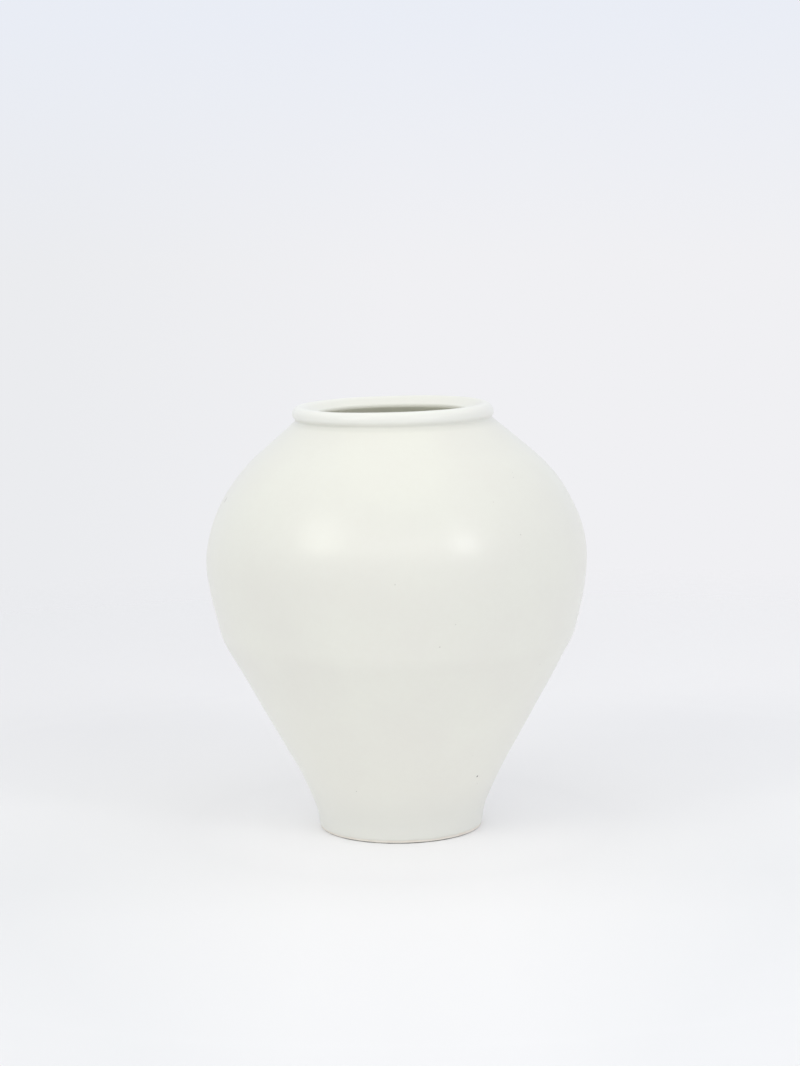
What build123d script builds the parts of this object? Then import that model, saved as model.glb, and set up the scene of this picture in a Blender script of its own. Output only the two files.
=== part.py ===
from build123d import *

import os

os.makedirs("parts", exist_ok=True)

# A white porcelain jar with a high shoulder, a rolled lip and a narrow foot.
# It stands on the plane z = 0 with its axis on Z. Sizes are in millimetres, of the fired jar.

# Outside of the glazed jar
total_height = 320
join_height = 146.4
join_round = 50
foot_radius = 61.5
belly_radius = 142.4
mouth_radius = 56.6

# Lower bowl's outline: ankle and flare, as shares of the way up to the join. Their radii and the
# join's are shares of the way out from the foot to the belly.
ankle_up_share = 0.137
ankle_out_share = 0.048
flare_up_share = 0.369
flare_out_share = 0.2435
join_out_share = 0.869

# Upper bowl's outline: belly and shoulder, as shares of the way up from the join to the neck. The
# belly's curve is a share of that height, and turns through these angles below and above its widest
# level. The shoulder's radius is a share of the way out from the neck to the belly.
belly_up_share = 0.356
belly_curve_share = 0.512
belly_degrees_below = 8.7
belly_degrees_above = 18.2
shoulder_up_share = 0.842
shoulder_out_share = 0.432

# Lip: a thick roll over the neck, with a groove under it, a slope down into the mouth and a throat
# that falls back under it. The neck is the level that the lip stands on, and the collar's width is
# measured there, from the outer face in to the mouth's edge. The bottom of the groove lies past the
# neck on the straight line of the shoulder, by a share of that line.
lip_height = 11.4
lip_overhang = 1.35
collar_width = 17
groove_share = 0.034
groove_round = 1.4
collar_round = 60

# The lip's corners before they are rounded: under its side, at its crest, and above and below the
# mouth's edge. Each is placed from the outer face inwards and from the neck upwards, and has its
# own round.
lip_inward_shares = (-0.0136, 0.06, 1, 1)
lip_upward_shares = (0.298, 1.2705, 0.532, 0.325)
lip_round_shares = (0.316, 0.526, 0.158, 0.158)

# Wall: even from the join to the shoulder, thicker at the collar and towards the floor. A level cut
# through a sloping wall is wider than the wall by the extra at that place.
wall = 6.5
join_wall_extra = 0.9
shoulder_wall_extra = 2.7
floor_wall = 9.3
floor_round = 32

# Foot: a ring round a shallow recess, with both edges of its resting face bevelled
foot_height = 9
foot_wall = 9.5
foot_bevel = 0.6

# Layers: the slip in each luted joint, and the glaze with the bare clay that it leaves at the foot
slip = 0.7
glaze = 0.6
glaze_edge_round = 0.4
foot_bare_height = 2.2
recess_bare_height = 3.5
recess_pool_round = 2

# The two bowls lock at the join: a ridge under the upper rim sits in a groove in the lower one
key_depth = 1.6
key_width = 3.2

# Heights that follow from the sizes above
neck_height = total_height - lip_height
upper_height = neck_height - join_height
ankle_height = join_height * ankle_up_share
flare_height = join_height * flare_up_share
belly_height = join_height + upper_height * belly_up_share
shoulder_height = join_height + upper_height * shoulder_up_share
base_height = foot_height + slip
floor_height = base_height + floor_wall

# Radii that follow from the sizes above
neck_radius = mouth_radius + collar_width
lip_radius = neck_radius + lip_overhang
lip_width = lip_radius - mouth_radius
belly_spread = belly_radius - foot_radius
ankle_radius = foot_radius + belly_spread * ankle_out_share
flare_radius = foot_radius + belly_spread * flare_out_share
join_radius = foot_radius + belly_spread * join_out_share
shoulder_radius = neck_radius + (belly_radius - neck_radius) * shoulder_out_share
belly_curve = upper_height * belly_curve_share
groove_radius = neck_radius - (shoulder_radius - neck_radius) * groove_share
groove_height = neck_height + (neck_height - shoulder_height) * groove_share
inner_join_radius = join_radius - wall - join_wall_extra
inner_shoulder_radius = shoulder_radius - wall - shoulder_wall_extra
recess_radius = foot_radius - foot_wall
key_radius = (join_radius + inner_join_radius) / 2
wall_reach = belly_radius + wall


def flat_seam(height):
    """A seam line square to the axis, from the axis out past the wall."""
    return [(0, height), (wall_reach, height)]


def keyed_seam(height):
    """The join's seam line, which dips into the groove at the middle of the wall."""
    return [
        (0, height),
        (key_radius - key_width / 2, height),
        (key_radius, height - key_depth),
        (key_radius + key_width / 2, height),
        (wall_reach, height),
    ]


def keep_between(low_seam, high_seam):
    """Cuts the open sketch down to what lies between two seam lines."""
    Polygon(*low_seam, *reversed(high_seam), align=None, mode=Mode.INTERSECT)


def lip_corner(place):
    """A corner of the lip's section before it is rounded."""
    inward = lip_inward_shares[place] * lip_width
    upward = lip_upward_shares[place] * lip_height
    return (lip_radius - inward, neck_height + upward)


# The throat: where the straight line from the inner shoulder up to the mouth's edge crosses the neck
edge_radius, edge_height = lip_corner(3)
throat_share = (edge_height - neck_height) / (edge_height - shoulder_height)
throat_radius = edge_radius + (inner_shoulder_radius - edge_radius) * throat_share

# The glazed outside, from the foot over the lip and down to the throat
with BuildLine() as outside:
    bare = Line((foot_radius, 0), (foot_radius, foot_bare_height))
    belly_centre = (belly_radius - belly_curve, belly_height)
    belly_turn = belly_degrees_below + belly_degrees_above
    belly = CenterArc(belly_centre, belly_curve, -belly_degrees_below, belly_turn)
    shoulder = TangentArc(belly @ 1, (shoulder_radius, shoulder_height), tangent=belly % 1)
    waist = TangentArc(belly @ 0, (join_radius, join_height), tangent=(belly % 0) * -1)
    cone = Line(waist @ 1, (flare_radius, flare_height))
    flare = TangentArc(cone @ 1, (ankle_radius, ankle_height), tangent=cone % 1)
    ankle = TangentArc(flare @ 1, bare @ 1, tangent=flare % 1)
    lip = FilletPolyline(
        shoulder @ 1,
        (groove_radius, groove_height),
        lip_corner(0),
        lip_corner(1),
        lip_corner(2),
        lip_corner(3),
        (throat_radius, neck_height),
        radius=[groove_round] + [lip_height * share for share in lip_round_shares],
    )
    join_corner = outside.vertices().sort_by_distance((join_radius, join_height))[0]
    fillet(join_corner, join_round)

# The glazed inside, from the throat down to the middle of the floor
with BuildLine() as inside:
    inner_belly = CenterArc(belly_centre, belly_curve - wall, -belly_degrees_below, belly_turn)
    inner_shoulder = TangentArc(
        inner_belly @ 1,
        (inner_shoulder_radius, shoulder_height),
        tangent=inner_belly % 1,
    )
    collar = Line(inner_shoulder @ 1, (throat_radius, neck_height))
    inner_waist = TangentArc(
        inner_belly @ 0,
        (inner_join_radius, join_height),
        tangent=(inner_belly % 0) * -1,
    )
    bowl = FilletPolyline(
        inner_waist @ 1,
        (recess_radius, floor_height),
        (0, floor_height),
        radius=floor_round,
    )
    collar_corner = inside.vertices().sort_by_distance(collar @ 0)[0]
    fillet(collar_corner, collar_round)
    inner_join_corner = inside.vertices().sort_by_distance(inner_waist @ 1)[0]
    fillet(inner_join_corner, join_round - wall)

# The clay inside the glaze, as one section from the foot to the lip. It is one thrown wall that the
# seams below cut into the pieces that the potter makes apart.
with BuildSketch() as clay:
    with BuildLine():
        offset(outside.line, amount=glaze, side=Side.LEFT, closed=False, mode=Mode.ADD)
        offset(inside.line, amount=glaze, side=Side.RIGHT, closed=False, mode=Mode.ADD)
        Polyline(
            (0, floor_height - glaze),
            (0, base_height),
            (recess_radius, base_height),
            (recess_radius, 0),
            (foot_radius - glaze, 0),
        )
    make_face()

# Foot ring: the bare-edged ring that the jar stands on
with BuildPart() as foot_ring:
    with BuildSketch(Plane.XZ) as section:
        add(clay.sketch)
        keep_between(flat_seam(0), flat_seam(foot_height))
        chamfer(section.vertices().group_by(Axis.Y)[0], foot_bevel)
    revolve(axis=Axis.Z)
foot_ring.part.label = "foot_ring"
export_step(foot_ring.part, "parts/foot_ring.step")

# Foot seam slip: lutes the foot ring to the underside of the lower bowl
with BuildPart() as foot_seam_slip:
    with BuildSketch(Plane.XZ):
        add(clay.sketch)
        keep_between(flat_seam(foot_height), flat_seam(base_height))
    revolve(axis=Axis.Z)
foot_seam_slip.part.label = "foot_seam_slip"
export_step(foot_seam_slip.part, "parts/foot_seam_slip.step")

# Lower bowl: the floor, the flare and the straight wall up to its grooved rim
with BuildPart() as lower_bowl:
    with BuildSketch(Plane.XZ):
        add(clay.sketch)
        keep_between(flat_seam(base_height), keyed_seam(join_height - slip / 2))
    revolve(axis=Axis.Z)
lower_bowl.part.label = "lower_bowl"
export_step(lower_bowl.part, "parts/lower_bowl.step")

# Belly seam slip: fills the groove between the two rims
with BuildPart() as belly_seam_slip:
    with BuildSketch(Plane.XZ):
        add(clay.sketch)
        keep_between(keyed_seam(join_height - slip / 2), keyed_seam(join_height + slip / 2))
    revolve(axis=Axis.Z)
belly_seam_slip.part.label = "belly_seam_slip"
export_step(belly_seam_slip.part, "parts/belly_seam_slip.step")

# Upper bowl: thrown the other way up, with the belly, the shoulder and a thick collar
with BuildPart() as upper_bowl:
    with BuildSketch(Plane.XZ):
        add(clay.sketch)
        keep_between(keyed_seam(join_height + slip / 2), flat_seam(neck_height - slip))
    revolve(axis=Axis.Z)
upper_bowl.part.label = "upper_bowl"
export_step(upper_bowl.part, "parts/upper_bowl.step")

# Lip seam slip: lutes the lip to the collar
with BuildPart() as lip_seam_slip:
    with BuildSketch(Plane.XZ):
        add(clay.sketch)
        keep_between(flat_seam(neck_height - slip), flat_seam(neck_height))
    revolve(axis=Axis.Z)
lip_seam_slip.part.label = "lip_seam_slip"
export_step(lip_seam_slip.part, "parts/lip_seam_slip.step")

# Lip ring: the thick roll thrown round the mouth
with BuildPart() as lip_ring:
    with BuildSketch(Plane.XZ):
        add(clay.sketch)
        keep_between(flat_seam(neck_height), flat_seam(total_height + lip_height))
    revolve(axis=Axis.Z)
lip_ring.part.label = "lip_ring"
export_step(lip_ring.part, "parts/lip_ring.step")

# Outer glaze: the skin over the outside and the lip, with a rounded edge above the bare foot
with BuildPart() as outer_glaze:
    with BuildSketch(Plane.XZ) as skin:
        with BuildLine():
            offset(outside.line, amount=glaze, side=Side.LEFT)
        make_face()
        keep_between(flat_seam(foot_bare_height), flat_seam(total_height + lip_height))
        fillet(skin.vertices().group_by(Axis.Y)[0].sort_by(Axis.X)[-1], glaze_edge_round)
    revolve(axis=Axis.Z)
outer_glaze.part.label = "outer_glaze"
export_step(outer_glaze.part, "parts/outer_glaze.step")

# Inner glaze: the skin poured over the whole inside, from the throat to the floor
with BuildPart() as inner_glaze:
    with BuildSketch(Plane.XZ):
        with BuildLine():
            offset(inside.line, amount=glaze, side=Side.RIGHT)
        make_face()
    revolve(axis=Axis.Z)
inner_glaze.part.label = "inner_glaze"
export_step(inner_glaze.part, "parts/inner_glaze.step")

# Foot recess glaze: the skin on the recess's ceiling and the upper part of its wall
with BuildPart() as foot_recess_glaze:
    with BuildSketch(Plane.XZ) as pool:
        with BuildLine():
            Polyline(
                (0, base_height),
                (recess_radius, base_height),
                (recess_radius, recess_bare_height),
                (recess_radius - glaze, recess_bare_height),
                (recess_radius - glaze, base_height - glaze),
                (0, base_height - glaze),
                close=True,
            )
        make_face()
        pool_corner = (recess_radius - glaze, base_height - glaze)
        fillet(pool.vertices().sort_by_distance(pool_corner)[0], recess_pool_round)
    revolve(axis=Axis.Z)
foot_recess_glaze.part.label = "foot_recess_glaze"
export_step(foot_recess_glaze.part, "parts/foot_recess_glaze.step")
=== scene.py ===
import math

import bpy
import numpy as np
from mathutils import Matrix, Vector


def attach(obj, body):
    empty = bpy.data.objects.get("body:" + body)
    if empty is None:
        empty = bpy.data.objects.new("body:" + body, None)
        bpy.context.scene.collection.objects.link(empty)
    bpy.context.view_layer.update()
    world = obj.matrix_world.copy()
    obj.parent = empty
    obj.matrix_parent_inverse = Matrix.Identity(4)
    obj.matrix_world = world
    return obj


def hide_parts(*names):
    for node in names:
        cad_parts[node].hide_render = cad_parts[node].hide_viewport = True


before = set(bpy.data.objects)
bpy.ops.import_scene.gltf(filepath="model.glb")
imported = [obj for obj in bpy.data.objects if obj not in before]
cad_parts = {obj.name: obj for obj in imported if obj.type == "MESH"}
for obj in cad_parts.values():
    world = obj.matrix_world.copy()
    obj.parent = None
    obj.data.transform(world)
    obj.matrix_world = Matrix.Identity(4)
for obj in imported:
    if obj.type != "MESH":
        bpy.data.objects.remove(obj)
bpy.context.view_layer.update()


# LOWER BOWL
# A wide bowl thrown in white porcelain clay, with a thick floor and a wall that opens straight to
# its rim. A groove round the rim takes the ridge of the upper bowl, and slip lutes the two.

# The jar's two outlines in millimetres, as its CAD solids have them. Each station is a radius, a
# height and the bend of the line up to it: none is straight, and a positive bend bulges outwards.
outside_stations = (
    (61.5, 0, 0),
    (61.5, 2.2, 0),
    (65.383, 20.057, -58.686),
    (81.199, 54.022, -286.916),
    (128.901, 141.105, 0),
    (133.466, 152.642, 50),
    (141.444, 191.582, 395.657),
    (138.245, 230.081, 83.046),
    (103.322, 282.972, 120.584),
    (73.75, 308.471, 0),
    (73.691, 310.537, -1.4),
    (73.912, 310.751, 0),
    (74.983, 313.776, 3.602),
    (74.867, 314.728, 0),
    (66.284, 319.392, 5.996),
    (57.611, 315.158, 0),
    (56.6, 313.54, 1.8),
    (56.6, 313.183, 0),
    (57.292, 311.764, 1.8),
    (61.339, 308.6, 0),
)
inside_stations = (
    (0, 19, 0),
    (33.379, 19, 0),
    (61.2, 35.189, 32),
    (121.98, 142.137, 0),
    (125.921, 151.452, 43.5),
    (135.019, 192.565, 319.456),
    (132.071, 228.051, 76.546),
    (94.733, 282.476, 117.916),
    (93.687, 283.312, 60),
    (61.339, 308.6, 0),
)


def follow(stations, step, finest_turn=math.radians(7)):
    """Points along an outline, no further apart than the step, and closer round tight bends."""
    points = [stations[0][:2]]
    for (r0, z0, _), (r1, z1, bend) in zip(stations, stations[1:]):
        span = math.hypot(r1 - r0, z1 - z0)
        if not bend:
            count = math.ceil(span / step)
            points += [
                (r0 + (r1 - r0) * k / count, z0 + (z1 - z0) * k / count)
                for k in range(1, count + 1)
            ]
            continue
        to_centre = math.copysign(math.sqrt(bend * bend - span * span / 4), bend) / span
        centre_r = (r0 + r1) / 2 - (z1 - z0) * to_centre
        centre_z = (z0 + z1) / 2 + (r1 - r0) * to_centre
        start = math.atan2(z0 - centre_z, r0 - centre_r)
        turn = math.copysign(2 * math.asin(span / 2 / abs(bend)), bend)
        count = math.ceil(max(abs(turn * bend) / step, abs(turn) / finest_turn))
        for k in range(1, count + 1):
            angle = start + turn * k / count
            across, up = abs(bend) * math.cos(angle), abs(bend) * math.sin(angle)
            points.append((centre_r + across, centre_z + up))
    return np.array(points)


def beside(points, distance):
    """The line that runs at a distance to the left of another, seen along its way."""
    way = np.gradient(points, axis=0)
    way /= np.linalg.norm(way, axis=1)[:, None]
    return points + distance * np.stack([-way[:, 1], way[:, 0]], 1)


def between(points, low, high):
    """The stretch of a rising line between two heights, with its ends cut square."""
    radius, height = points.T
    inner = points[(height > low) & (height < high)]
    ends = [(np.interp(cut, height, radius), cut) for cut in (low, high)]
    return np.vstack([ends[:1], inner, ends[1:]])


glaze = 0.6
slip = 0.7
join_height = 146.4
foot_height = 9
floor_underside = foot_height + slip
outside_line = follow(outside_stations, step=1.1)
inside_line = follow(inside_stations, step=2.2)
clay_outside = beside(outside_line, glaze)
clay_inside = beside(inside_line, -glaze)
clay_inside[0, 0] = 0

# The groove and ridge that lock the two rims: a V round the middle of the wall
ridge_radius, ridge_depth, ridge_width = 128.1, 1.6, 3.2


def rim_line(height):
    """The seam across the wall at the join, from the outside inwards, dipping at the ridge."""
    half = ridge_width / 2
    return np.array([
        (ridge_radius + half, height),
        (ridge_radius, height - ridge_depth),
        (ridge_radius - half, height),
    ])


# How the wheel and the kiln leave the jar: soft swells round it, faint spiral rings from the
# fingers, an axis that wanders by up to two millimetres, and a lip that sits a little high on one
# side. The swells and rings fade out towards the resting face and the axis.
swells = (
    # length up the wall, waves round the jar, millimetres, start
    (58, 1, 0.10, 0.6),
    (37, -1, 0.06, 2.1),
    (83, 2, 0.11, 4.0),
    (29, 0, 0.035, 1.1),
    (46, 3, 0.045, 5.2),
    (19, 1, 0.014, 3.3),
)
rings = ((7.3, 0.010), (5.1, 0.006), (11.9, 0.012))
wanders = (
    # height, reach, millimetres to the right, millimetres to the back
    (67, 45, 0.30, -0.15),
    (200, 38, -0.25, 0.20),
    (262, 26, 0.25, 0.10),
    (322, 16, -1.90, -0.10),
)
settled_below, settled_within = 12, 20
lift_start, lift_reach = 292, 28
lip_tilt, lip_nod = math.radians(0.64), math.radians(0.3)
lip_waves = ((3, 0.10, 0.7), (5, 0.07, 2.4), (8, 0.035, 4.4))


def as_thrown(radius, turn, height):
    """Turns places on the true outline, in millimetres, into the thrown jar's, in metres."""
    swell = sum(a * np.sin(2 * np.pi * height / long + n * turn + s) for long, n, a, s in swells)
    ring = sum(a * np.sin(2 * np.pi * height / pitch - turn) for pitch, a in rings)
    ring *= 0.6 + 0.4 * np.sin(height / 17 + np.sin(turn + height / 40))
    settled = np.clip(height / settled_below, 0, 1) * np.clip(radius / settled_within, 0, 1)
    radius = radius + (swell + ring) * settled
    x, y = radius * np.sin(turn), -radius * np.cos(turn)
    for middle, reach, right, back in wanders:
        share = np.exp(-(((height - middle) / reach) ** 2))
        x, y = x + right * share, y + back * share
    lifted = np.clip((height - lift_start) / lift_reach, 0, 1) ** 2
    wave = sum(a * np.sin(n * turn + s) for n, a, s in lip_waves)
    height = height + lifted * (math.tan(lip_tilt) * x + math.tan(lip_nod) * y + wave)
    return np.stack([x, y, height], -1) / 1000


# Steps round the jar: few for the clay that the glaze hides, more for the lip's clay and the recess,
# and most for what shows
few_steps, some_steps, many_steps = 128, 192, 288


def turned(name, section, round_count, bend=as_thrown):
    """A closed shell of one piece, from its section as a closed line that rises outside."""
    section = np.asarray(section, float)
    turns = np.arange(round_count) * 2 * np.pi / round_count
    places, rows = [], []
    for radius, height in section:
        on_axis = radius < 1e-6
        around = turns[:1] if on_axis else turns
        rows.append(np.arange(len(around)) + sum(len(p) for p in places))
        places.append(bend(np.full(len(around), radius), around, np.full(len(around), height)))
    faces = []
    for low, high in zip(rows, rows[1:] + rows[:1]):
        if len(low) == len(high) == 1:
            continue
        nearer, further = np.broadcast_to(low, round_count), np.broadcast_to(high, round_count)
        corners = [nearer, np.roll(nearer, -1), np.roll(further, -1), further]
        if len(low) == 1:
            corners = [corners[0], corners[2], corners[3]]
        elif len(high) == 1:
            corners = corners[:3]
        faces += np.stack(corners, 1).tolist()
    mesh = bpy.data.meshes.new(name)
    mesh.from_pydata(np.vstack(places).tolist(), [], faces)
    mesh.polygons.foreach_set("use_smooth", [True] * len(mesh.polygons))
    mesh.set_sharp_from_angle(angle=math.radians(35))
    mesh.update()
    piece = bpy.data.objects.new(name, mesh)
    bpy.context.scene.collection.objects.link(piece)
    return piece


def colour(red, green, blue):
    """A colour as a screen shows it, from 0 to 255, turned into the renderer's own scale."""
    shares = [c / 255 for c in (red, green, blue)]
    return [s / 12.92 if s <= 0.04045 else ((s + 0.055) / 1.055) ** 2.4 for s in shares] + [1]


class Finish:
    """A material under way: its nodes, and short ways to add and join them."""

    def __init__(self, name, tree=None):
        self.material = None
        if tree is None:
            self.material = bpy.data.materials.new(name)
            self.material.use_nodes = True
            tree = self.material.node_tree
            tree.nodes.clear()
        self.tree = tree

    def add(self, kind, *inputs, **settings):
        """A node with its settings, and its inputs in order: a socket to join, a value, or None."""
        node = self.tree.nodes.new(kind)
        for key, value in settings.items():
            setattr(node, key, value)
        for socket, value in zip([s for s in node.inputs if s.enabled], inputs):
            self.join(value, socket)
        return node

    def join(self, value, socket):
        """Sets a socket to a value, or links it to another node's socket."""
        if isinstance(value, bpy.types.NodeSocket):
            self.tree.links.new(value, socket)
        elif value is not None:
            socket.default_value = value

    def sum(self, operation, *inputs):
        """A math node's result."""
        return self.add("ShaderNodeMath", *inputs, operation=operation).outputs[0]

    def mix(self, share, first, second):
        """A colour between two, by a share from 0 to 1."""
        node = self.add("ShaderNodeMix", share, first, second, data_type="RGBA")
        return [s for s in node.outputs if s.enabled][0]

    def place(self):
        """Where a point of the surface is, in millimetres."""
        here = self.add("ShaderNodeTexCoord").outputs["Object"]
        return self.add("ShaderNodeVectorMath", here, (1000, 1000, 1000), operation="MULTIPLY").outputs[0]

    def noise(self, where, size, detail=2.0, roughness=0.5):
        """Soft noise from 0 to 1, with marks of about one size in millimetres."""
        node = self.add("ShaderNodeTexNoise")
        self.join(where, node.inputs["Vector"])
        for name, value in (("Scale", 1 / size), ("Detail", detail), ("Roughness", roughness)):
            self.join(value, node.inputs[name])
        return node.outputs[0]

    def from_axis(self, place):
        """How far a place is from the jar's axis."""
        level = self.add("ShaderNodeVectorMath", place, (1, 1, 0), operation="MULTIPLY").outputs[0]
        return self.add("ShaderNodeVectorMath", level, operation="LENGTH").outputs["Value"]

    def bumps(self, height, strength, depth):
        """The normal of a bumpy surface, from heights of 0 to 1 and a depth in metres."""
        node = self.add("ShaderNodeBump")
        for name, value in (("Strength", strength), ("Distance", depth), ("Height", height)):
            self.join(value, node.inputs[name])
        return node.outputs[0]

    def spread(self, value, low, high, to_low, to_high):
        """A value moved from one range into another, and kept inside it."""
        return self.add("ShaderNodeMapRange", value, low, high, to_low, to_high).outputs[0]

    def surface(self, **inputs):
        """Ends the material in a surface with these inputs."""
        shader = self.add("ShaderNodeBsdfPrincipled")
        for name, value in inputs.items():
            self.join(value, shader.inputs[name.replace("_", " ")])
        out = self.add("ShaderNodeOutputMaterial")
        self.tree.links.new(shader.outputs[0], out.inputs["Surface"])
        return self.material


def bare_clay(name, light, dark, grit):
    """Fired clay without glaze: matt, with soft patches and fine grit."""
    finish = Finish(name)
    place = finish.place()
    patches = finish.noise(place, 22, 3)
    grains = finish.noise(place, 0.7, 3, 0.7)
    tone = finish.mix(finish.spread(patches, 0.35, 0.65, 0, 1), colour(*light), colour(*dark))
    rough = finish.spread(grains, 0.3, 0.7, 0.72, 0.9)
    gritty = finish.bumps(grains, grit, 0.00004)
    return finish.surface(Base_Color=tone, Roughness=rough, Normal=gritty)


lower_wall = between(clay_outside, floor_underside, join_height - slip / 2)
lower_face = between(clay_inside, -1, join_height - slip / 2)[1:]
lower_bowl = turned(
    "lower_bowl_clay",
    np.vstack([lower_wall, rim_line(join_height - slip / 2), lower_face[::-1], [(0, floor_underside)]]),
    few_steps,
)
porcelain = bare_clay("bare porcelain", light=(238, 233, 223), dark=(232, 225, 212), grit=0.5)
lower_bowl.data.materials.append(porcelain)
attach(lower_bowl, "root")
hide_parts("lower_bowl")


# BELLY SEAM SLIP
# Creamy clay slip brushed into the groove of the lower rim. It squeezes out flush when the upper
# bowl is pressed down, and glues the rims as it dries and fires.

belly_seam_slip = turned(
    "belly_seam_slip_layer",
    np.vstack([
        between(clay_outside, join_height - slip / 2, join_height + slip / 2),
        rim_line(join_height + slip / 2),
        between(clay_inside, join_height - slip / 2, join_height + slip / 2)[::-1],
        rim_line(join_height - slip / 2)[::-1],
    ]),
    few_steps,
)
fired_slip = bare_clay("fired slip", light=(240, 236, 228), dark=(234, 229, 219), grit=0.2)
belly_seam_slip.data.materials.append(fired_slip)
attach(belly_seam_slip, "root")
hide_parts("belly_seam_slip")


# UPPER BOWL
# The second bowl, thrown the other way up and turned over onto the first. It makes the belly, the
# shoulder and the sloping collar, whose top is cut level for the lip.

neck_height = 308.6
rising_outside = clay_outside[: np.argmax(clay_outside[:, 1])]
upper_bowl = turned(
    "upper_bowl_clay",
    np.vstack([
        between(rising_outside, join_height + slip / 2, neck_height - slip),
        between(clay_inside, join_height + slip / 2, neck_height - slip)[::-1],
        rim_line(join_height + slip / 2)[::-1],
    ]),
    few_steps,
)
upper_bowl.data.materials.append(porcelain)
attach(upper_bowl, "root")
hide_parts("upper_bowl")


# LIP SEAM SLIP
# A thin bed of slip on the cut top of the collar, which lutes the thick lip to it.

lip_seam_slip = turned(
    "lip_seam_slip_layer",
    np.vstack([
        between(rising_outside, neck_height - slip, neck_height),
        between(clay_inside, neck_height - slip, neck_height)[::-1],
    ]),
    few_steps,
)
lip_seam_slip.data.materials.append(fired_slip)
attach(lip_seam_slip, "root")
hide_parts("lip_seam_slip")


# LIP RING
# A thick coil thrown into a rounded roll on the collar: it overhangs the groove below it, slopes
# down into the mouth and ends there in an edge that the throat falls back under.

lip_foot = [
    (np.interp(neck_height, line[:, 1], line[:, 0]), neck_height)
    for line in (rising_outside, clay_inside)
]
hair = 0.01
above_neck = clay_outside[:, 1] > neck_height + hair
lip_ring = turned(
    "lip_ring_clay",
    np.vstack([lip_foot[:1], clay_outside[above_neck], lip_foot[1:]]),
    some_steps,
)
lip_ring.data.materials.append(porcelain)
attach(lip_ring, "root")
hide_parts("lip_ring")


# FOOT SEAM SLIP
# The bed of slip that lutes the foot ring under the lower bowl's floor. Glaze runs over it outside
# and in the recess.

recess_radius = 52
foot_seam_slip = turned(
    "foot_seam_slip_layer",
    np.vstack([
        between(rising_outside, foot_height, floor_underside),
        [(recess_radius, floor_underside), (recess_radius, foot_height)],
    ]),
    few_steps,
)
foot_seam_slip.data.materials.append(fired_slip)
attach(foot_seam_slip, "root")
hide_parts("foot_seam_slip")


# FOOT RING
# The turned ring that the jar stands on. Its resting face and the last two millimetres of its side
# are wiped clean of glaze, so that it doesn't stick to the kiln shelf, and fire cream.

foot_bevel = 0.6
foot_ring = turned(
    "foot_ring_clay",
    np.vstack([
        [(outside_stations[0][0] - glaze - foot_bevel, 0)],
        between(rising_outside, foot_bevel, foot_height),
        [(recess_radius, foot_height), (recess_radius, foot_bevel), (recess_radius + foot_bevel, 0)],
    ]),
    many_steps,
)


def foot_clay(name):
    """The foot's bare clay: cream, a touch warmer along the glaze, with dirt and a painted contact shadow
    round the outer edge.
    """
    finish = Finish(name)
    place = finish.place()
    across, _, height = finish.add("ShaderNodeSeparateXYZ", place).outputs
    grains = finish.noise(place, 0.6, 3, 0.7)
    patches = finish.noise(place, 14, 3, 0.6)
    cream = finish.mix(patches, colour(241, 237, 229), colour(236, 230, 219))
    along_glaze = finish.spread(height, 0.9, 2.2, 0, 0.25)
    flash = finish.sum("MULTIPLY", along_glaze, finish.spread(patches, 0.45, 0.65, 0, 1))
    tone = finish.mix(flash, cream, colour(222, 196, 164))
    # Dirt and a painted contact shadow: near black along the lowest outer edge, in patches, darkest at
    # the front and back
    lowest = finish.spread(height, 0.75, 0.5, 0, 1)
    outermost = finish.spread(finish.from_axis(place), 60.0, 60.4, 0, 1)
    in_patches = finish.spread(patches, 0.35, 0.6, 0.6, 1)
    less_at_sides = finish.spread(finish.sum("ABSOLUTE", across), 38, 58, 1, 0.4)
    edge = finish.sum("MULTIPLY", lowest, outermost)
    dirt_and_contact_shadow = finish.sum("MULTIPLY", edge, finish.sum("MULTIPLY", in_patches, less_at_sides))
    tone = finish.mix(dirt_and_contact_shadow, tone, colour(32, 28, 24))
    rough = finish.spread(grains, 0.3, 0.7, 0.75, 0.92)
    gritty = finish.bumps(grains, 0.6, 0.00005)
    return finish.surface(Base_Color=tone, Roughness=rough, Normal=gritty)


foot_ring.data.materials.append(foot_clay("bare foot"))
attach(foot_ring, "root")
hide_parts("foot_ring")


# OUTER GLAZE
# Satin milk-white glaze, poured over the raw jar and fired with it. It covers the lip and the whole
# outside, is painted greyer as shade in the groove, and ends in a soft uneven edge above the bare foot.

bare_height = 2.2
edge_waves = ((2, 0.16, 0.4), (5, 0.10, 2.9), (9, 0.06, 1.2), (17, 0.035, 4.8))


def edge_as_run(radius, turn, height):
    """The thrown jar's places, with the lowest glaze moved up and down in slow waves."""
    near_edge = np.clip(1 - (height - bare_height) / 5, 0, 1) ** 2
    wave = sum(a * np.sin(n * turn + s) for n, a, s in edge_waves)
    return as_thrown(radius, turn, height + wave * near_edge)


edge_radius = outside_stations[0][0]
edge_round = 0.5
skin_edge = [
    (edge_radius - glaze, bare_height),
    (edge_radius - 0.36, bare_height + 0.02),
    (edge_radius - 0.14, bare_height + 0.13),
    (edge_radius - 0.03, bare_height + 0.30),
]
outer_glaze = turned(
    "outer_glaze_skin",
    np.vstack([
        skin_edge,
        outside_line[outside_line[:, 1] > bare_height + edge_round],
        clay_outside[clay_outside[:, 1] > bare_height + edge_round][::-1],
    ]),
    many_steps,
    edge_as_run,
)


def marking_group(name, **sockets):
    """A new node group with these inputs and one output, a mark from 0 to 1."""
    group = bpy.data.node_groups.new(name, "ShaderNodeTree")
    for socket, kind in sockets.items():
        group.interface.new_socket(socket, in_out="INPUT", socket_type="NodeSocket" + kind)
    group.interface.new_socket("Mark", in_out="OUTPUT", socket_type="NodeSocketFloat")
    marks = Finish("", group)
    return group, marks, marks.add("NodeGroupInput").outputs


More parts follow.
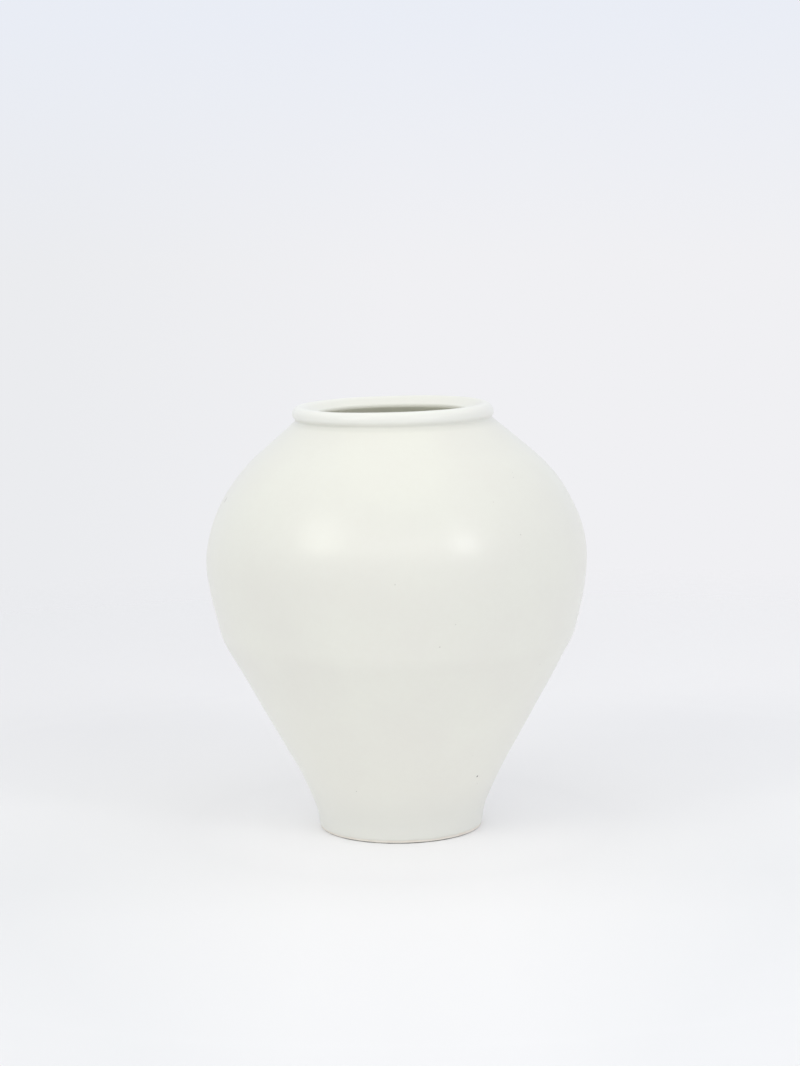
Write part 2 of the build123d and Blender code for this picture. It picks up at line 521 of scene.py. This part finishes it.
def speck_marks():
    """The group that marks one iron speck: 1 at its middle, fading to 0 at its edge."""
    group, marks, given = marking_group("iron speck", Place="Vector", Middle="Vector", Size="Float")
    away = marks.add("ShaderNodeVectorMath", given["Place"], given["Middle"], operation="DISTANCE")
    share = marks.sum("DIVIDE", away.outputs["Value"], given["Size"])
    end = marks.add("NodeGroupOutput")
    marks.join(marks.spread(share, 0.55, 1.0, 1.0, 0.0), end.inputs["Mark"])
    return group


def scattered_specks():
    """The group that strews specks all over: one in a share of the cells, each of its own size."""
    group, marks, given = marking_group(
        "scattered specks", Place="Vector", Spacing="Float", Size="Float", Share="Float"
    )
    cells = marks.add("ShaderNodeTexVoronoi")
    marks.join(given["Place"], cells.inputs["Vector"])
    marks.join(marks.sum("DIVIDE", 1.0, given["Spacing"]), cells.inputs["Scale"])
    away = marks.sum("MULTIPLY", cells.outputs["Distance"], given["Spacing"])
    draws = marks.add("ShaderNodeSeparateColor", cells.outputs["Color"]).outputs
    size = marks.sum("MULTIPLY", given["Size"], marks.spread(draws[0], 0, 1, 0.45, 1))
    spot = marks.spread(marks.sum("DIVIDE", away, size), 0.5, 1.0, 1.0, 0.0)
    chosen = marks.sum("LESS_THAN", draws[1], given["Share"])
    end = marks.add("NodeGroupOutput")
    marks.join(marks.sum("MULTIPLY", spot, chosen), end.inputs["Mark"])
    return group


iron_speck = speck_marks()
strewn = scattered_specks()
# The specks that the photograph shows: degrees round from the front, height, size, and strength
seen_specks = (
    (-79.2, 252.8, 3.0, 0.20),
    (46.2, 48.4, 0.95, 0.85),
    (49.2, 41.6, 0.50, 0.25),
    (-25.8, 41.6, 0.60, 0.28),
    (68.0, 17.6, 0.60, 0.25),
    (12.5, 160.0, 0.60, 0.28),
    (17.0, 176.0, 0.50, 0.22),
    (-0.5, 206.4, 0.55, 0.25),
    (40.0, 234.8, 0.60, 0.25),
    (80.5, 251.2, 0.80, 0.25),
    (47.5, 272.4, 0.60, 0.20),
    (48.8, 275.6, 0.50, 0.16),
)


def on_the_wall(turn, height):
    """A place on the thrown jar's outside, in millimetres."""
    radii, heights = outside_line[: np.argmax(outside_line[:, 1])].T
    radius = np.interp(height, heights, radii)
    return tuple(1000 * as_thrown(radius, math.radians(turn), height))


def glaze_tone_and_painted_light(finish, place, tone):
    """The outside's tone: a painted highlight on the lip's outer roll, painted shade in the groove, and
    greyer low down.
    """
    height = finish.add("ShaderNodeSeparateXYZ", place).outputs[2]
    # A painted highlight on the lip's outer roll
    outwards = finish.spread(finish.from_axis(place), 64, 69, 0, 1)
    lip = finish.sum("MULTIPLY", finish.spread(height, 309, 311, 0, 0.8), outwards)
    # Painted shade in the groove under the lip and on the top of the shoulder
    above_shoulder = finish.spread(height, 305.2, 307.5, 0, 0.55)
    groove = finish.sum("MULTIPLY", above_shoulder, finish.spread(height, 309, 310.5, 1, 0))
    low_down = finish.spread(height, 45, 12, 0, 1)
    tone = finish.mix(lip, tone, colour(246, 246, 240))
    tone = finish.mix(groove, tone, colour(230, 230, 222))
    return finish.mix(low_down, tone, colour(233, 233, 226))


# Specks too fine to place one by one: spacing, size, share of the cells, strength, and colour
fine_specks = (
    (9, 0.28, 0.16, 0.5, (112, 92, 70)),
    (26, 0.55, 0.22, 0.32, (128, 108, 84)),
    (5, 0.22, 0.25, 0.22, (168, 160, 146)),
)


def satin_glaze(name, light=(240, 240, 231), dark=(238, 237, 229), pooled=(233, 231, 221), outside=False):
    """Milky satin glaze: barely drifting in tone and gloss, with iron specks in it."""
    finish = Finish(name)
    place = finish.place()
    clouds = finish.noise(place, 55, 2, 0.5)
    mottle = finish.noise(place, 4.5, 3, 0.6)
    tone = finish.mix(finish.spread(clouds, 0.3, 0.7, 0, 1), colour(*light), colour(*dark))
    tone = finish.mix(finish.spread(mottle, 0.3, 0.7, 0, 0.15), tone, colour(*pooled))
    if outside:
        tone = glaze_tone_and_painted_light(finish, place, tone)
        for turn, up, size, strength in seen_specks:
            speck = finish.add("ShaderNodeGroup", node_tree=iron_speck)
            for socket, value in (("Place", place), ("Middle", on_the_wall(turn, up)), ("Size", size)):
                finish.join(value, speck.inputs[socket])
            mark = finish.sum("MULTIPLY", speck.outputs[0], strength)
            tone = finish.mix(mark, tone, colour(84, 70, 56))
    for spacing, size, share, strength, shade in fine_specks:
        fine = finish.add("ShaderNodeGroup", node_tree=strewn)
        for socket, value in (("Place", place), ("Spacing", spacing), ("Size", size), ("Share", share)):
            finish.join(value, fine.inputs[socket])
        tone = finish.mix(finish.sum("MULTIPLY", fine.outputs[0], strength), tone, colour(*shade))
    peel = finish.bumps(finish.noise(place, 1.6, 2, 0.5), 0.25, 0.00002)
    # Below about 0.274 the renderer's noise filter takes the glaze for a mirror, in hard-edged patches
    rough = finish.spread(finish.noise(place, 18, 3, 0.6), 0.3, 0.7, 0.278, 0.305)
    return finish.surface(Base_Color=tone, Roughness=rough, Normal=peel)


outer_glaze.data.materials.append(satin_glaze("satin glaze outside", outside=True))
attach(outer_glaze, "root")
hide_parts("outer_glaze")


# INNER GLAZE
# The same glaze, poured in, swilled round and tipped out before the outside is glazed. It meets the
# outer glaze inside the mouth.

inner_glaze = turned("inner_glaze_skin", np.vstack([clay_inside, inside_line[::-1]]), many_steps)
# Painted paler than the outside glaze, as painted light for the shaded inside of the jar
inner_glaze.data.materials.append(
    satin_glaze("satin glaze inside painted paler", light=(248, 248, 241), dark=(245, 246, 238), pooled=(243, 243, 234))
)
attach(inner_glaze, "root")
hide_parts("inner_glaze")


# FOOT RECESS GLAZE
# A dip of the same glaze in the hollow under the floor, wiped back from the resting face. It pools
# in a soft round in the recess's corner.

recess_ceiling = floor_underside - glaze
recess_inner = recess_radius - glaze
pool_round = 2
pool_middle = (recess_inner - pool_round, recess_ceiling - pool_round)
pool = [
    (pool_middle[0] + pool_round * math.sin(a), pool_middle[1] + pool_round * math.cos(a))
    for a in np.linspace(0, math.pi / 2, 9)
]
wiped_edge = [(recess_inner, 3.9), (recess_inner + 0.2, 3.56), (recess_radius, 3.5)]
foot_recess_glaze = turned(
    "foot_recess_glaze_skin",
    [(0, recess_ceiling), *pool, *wiped_edge, (recess_radius, floor_underside), (0, floor_underside)],
    some_steps,
)
foot_recess_glaze.data.materials.append(satin_glaze("satin glaze in the recess"))
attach(foot_recess_glaze, "root")
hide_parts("foot_recess_glaze")


# STUDIO
# A pale floor that melts into an even pale background, under plain soft light from all sides but
# the dark end of the room behind the camera: soft lamps stand there, and one is high over the jar.

floor_reach, floor_fade, floor_sides = 1.3, 0.5, 64
corner_turns = np.linspace(0, 2 * math.pi, floor_sides + 1)[:0:-1]
floor_corners = [(floor_reach * math.sin(a), floor_reach * math.cos(a), 0) for a in corner_turns]
floor_mesh = bpy.data.meshes.new("studio_floor")
floor_mesh.from_pydata(floor_corners, [], [tuple(range(len(floor_corners)))])
floor = bpy.data.objects.new("studio_floor", floor_mesh)
bpy.context.scene.collection.objects.link(floor)

# The floor's painted light and shade: a touch paler to the right, and painted shade beside the jar and
# towards the camera
paper = Finish("pale floor")
place = paper.place()
from_jar = paper.add("ShaderNodeVectorMath", place, operation="LENGTH").outputs["Value"]
across, deep, _ = paper.add("ShaderNodeSeparateXYZ", place).outputs
to_side = paper.spread(across, 0, 300, 0, 1)
# A painted shadow of the jar on the floor beside it, stronger in front
painted_jar_shadow = paper.spread(paper.sum("ABSOLUTE", across), 60, 260, 0, 1)
near_row = paper.sum("ADD", paper.spread(deep, 500, 350, 0, 0.35), paper.spread(deep, 60, -150, 0, 0.65))
painted_jar_shadow = paper.sum("MULTIPLY", painted_jar_shadow, near_row)
painted_shade_to_camera = paper.spread(deep, -250, -520, 0, 0.6)
shaded = paper.sum("MINIMUM", 1.0, paper.sum("ADD", painted_jar_shadow, painted_shade_to_camera))
lit_tone = paper.mix(to_side, colour(245, 244, 245), colour(249, 248, 249))
shaded_tone = paper.mix(to_side, colour(235, 235, 237), colour(239, 239, 241))
tone = paper.mix(shaded, lit_tone, shaded_tone)
seen_directly = paper.add("ShaderNodeLightPath").outputs["Is Camera Ray"]
# Painted light: the floor is paled round the foot where the camera sees it, against its real shade there
painted_light_near_foot = paper.sum("MULTIPLY", paper.spread(from_jar, 160, 75, 0, 0.8), seen_directly)
tone = paper.mix(painted_light_near_foot, tone, colour(254, 253, 254))

# It fades out far away and isn't seen from below, and under the foot it is open, so that light
# reaches the foot's underside
shown = paper.spread(from_jar, floor_fade * 1000, floor_reach * 1000, 1, 0)
seen_from_above = paper.sum("SUBTRACT", 1.0, paper.add("ShaderNodeNewGeometry").outputs["Backfacing"])
shown = paper.sum("MULTIPLY", shown, seen_from_above)
shown = paper.sum("MULTIPLY", shown, paper.spread(from_jar, 59, 59.5, 0, 1))
floor_mesh.materials.append(paper.surface(Base_Color=tone, Roughness=0.9, Alpha=shown))

# The room's own light: even all round but for a dark band behind and above the camera, a little
# weaker straight behind the camera, and half as strong from below
room_strength, room_colour = 0.83, (0.99, 1.01, 1.06, 1)
world = bpy.data.worlds.new("studio")
bpy.context.scene.world = world
world.use_nodes = True
world.node_tree.nodes.clear()
room = Finish("", world.node_tree)
way = room.add("ShaderNodeTexCoord").outputs["Generated"]
to_right, to_back, rising = room.add("ShaderNodeSeparateXYZ", way).outputs
stretched = room.add("ShaderNodeVectorMath", way, (1, 1, 4), operation="MULTIPLY").outputs[0]
from_dark = room.add("ShaderNodeVectorMath", stretched, (0, -0.927, 1.5), operation="DISTANCE")
around = room.spread(from_dark.outputs["Value"], 0.45, 0.65, 0, 1)
above = room.spread(rising, -0.06, 0.03, 0.5, 1)
in_front = room.spread(to_back, -0.9, -0.8, 0.8, 1)
strength = room.sum("MULTIPLY", in_front, room_strength)
strength = room.sum("MULTIPLY", room.sum("MULTIPLY", around, above), strength)
light = room.add("ShaderNodeBackground", room_colour, strength)

# The background that is seen and reflected: a touch darker to the left and bluer higher up
wall = room.mix(room.spread(to_right, -0.14, 0.0, 0, 1), colour(235, 236, 239), colour(240, 240, 243))
wall = room.mix(room.spread(rising, -0.03, 0.065, 0, 0.85), wall, colour(233, 237, 246))
seen = room.add("ShaderNodeBackground", wall, 1.0)
rays = room.add("ShaderNodeLightPath").outputs
backdrop = room.sum("MAXIMUM", rays["Is Glossy Ray"], rays["Is Transmission Ray"])
backdrop = room.sum("MAXIMUM", rays["Is Camera Ray"], backdrop)
both = room.add("ShaderNodeMixShader", backdrop, light.outputs[0], seen.outputs[0])
room.join(both.outputs[0], room.add("ShaderNodeOutputWorld").inputs["Surface"])

bpy.context.scene.view_settings.view_transform = "Standard"

jar_middle = Vector((0, 0, 0.2))


def soft_lamp(name, width, height, azimuth, elevation, distance, power, tint=(1, 0.995, 0.92)):
    """A flat soft lamp that faces the jar's middle, from degrees right of the camera and up."""
    lamp = bpy.data.lights.new(name, "AREA")
    lamp.shape, lamp.size, lamp.size_y = "RECTANGLE", width, height
    lamp.energy, lamp.color = power, tint
    lit = bpy.data.objects.new(name, lamp)
    a, e = math.radians(azimuth), math.radians(elevation)
    way = Vector((math.sin(a) * math.cos(e), -math.cos(a) * math.cos(e), math.sin(e)))
    lit.location = jar_middle + way * distance
    lit.rotation_mode = "QUATERNION"
    lit.rotation_quaternion = way.to_track_quat("Z", "Y")
    lit.visible_camera = False
    bpy.context.scene.collection.objects.link(lit)


soft_lamp("wide_lamp", 1.9, 0.6, 0, 28, 1.9, 3.9)
soft_lamp("left_lamp", 0.9, 0.75, -50, 32, 1.95, 4.1)
soft_lamp("left_small_lamp", 0.35, 0.4, -46, 27, 1.85, 0.75, (1, 0.98, 0.8))
soft_lamp("right_lamp", 0.5, 0.85, 46, 30, 1.95, 1.55, (1, 1, 1))
soft_lamp("right_small_lamp", 0.25, 0.4, 42, 25, 1.85, 2.1, (1, 1, 1))
soft_lamp("high_lamp", 1.6, 1.6, 0, 88, 1.9, 2.4, (1, 0.96, 0.5))

# A faint light in the jar's middle stands for the light that goes on bouncing between its white walls
inside_light = bpy.data.lights.new("inside_light", "POINT")
inside_light.energy, inside_light.color, inside_light.shadow_soft_size = 0.03, (1, 1, 0.88), 0.03
inside_glow = bpy.data.objects.new("inside_light", inside_light)
inside_glow.location = jar_middle
inside_glow.visible_camera = inside_glow.visible_glossy = False
bpy.context.scene.collection.objects.link(inside_glow)


# CAMERA
# A long lens a little above the jar, turned by less than a degree, as the photograph was taken.

camera_data = bpy.data.cameras.new("camera")
camera_data.sensor_width, camera_data.lens = 36, 84.47
camera = bpy.data.objects.new("camera", camera_data)
bpy.context.scene.collection.objects.link(camera)
bpy.context.scene.camera = camera
aim, distance = Vector((0.002483, 0, 0.222809)), 1.873556
rise, roll = math.radians(7.896), math.radians(-0.861)
back = Vector((0, -math.cos(rise), math.sin(rise)))
camera.location = aim + back * distance
camera.rotation_mode = "QUATERNION"
level_view = (-back).to_track_quat("-Z", "Y")
camera.rotation_quaternion = level_view @ Matrix.Rotation(roll, 3, "Z").to_quaternion()
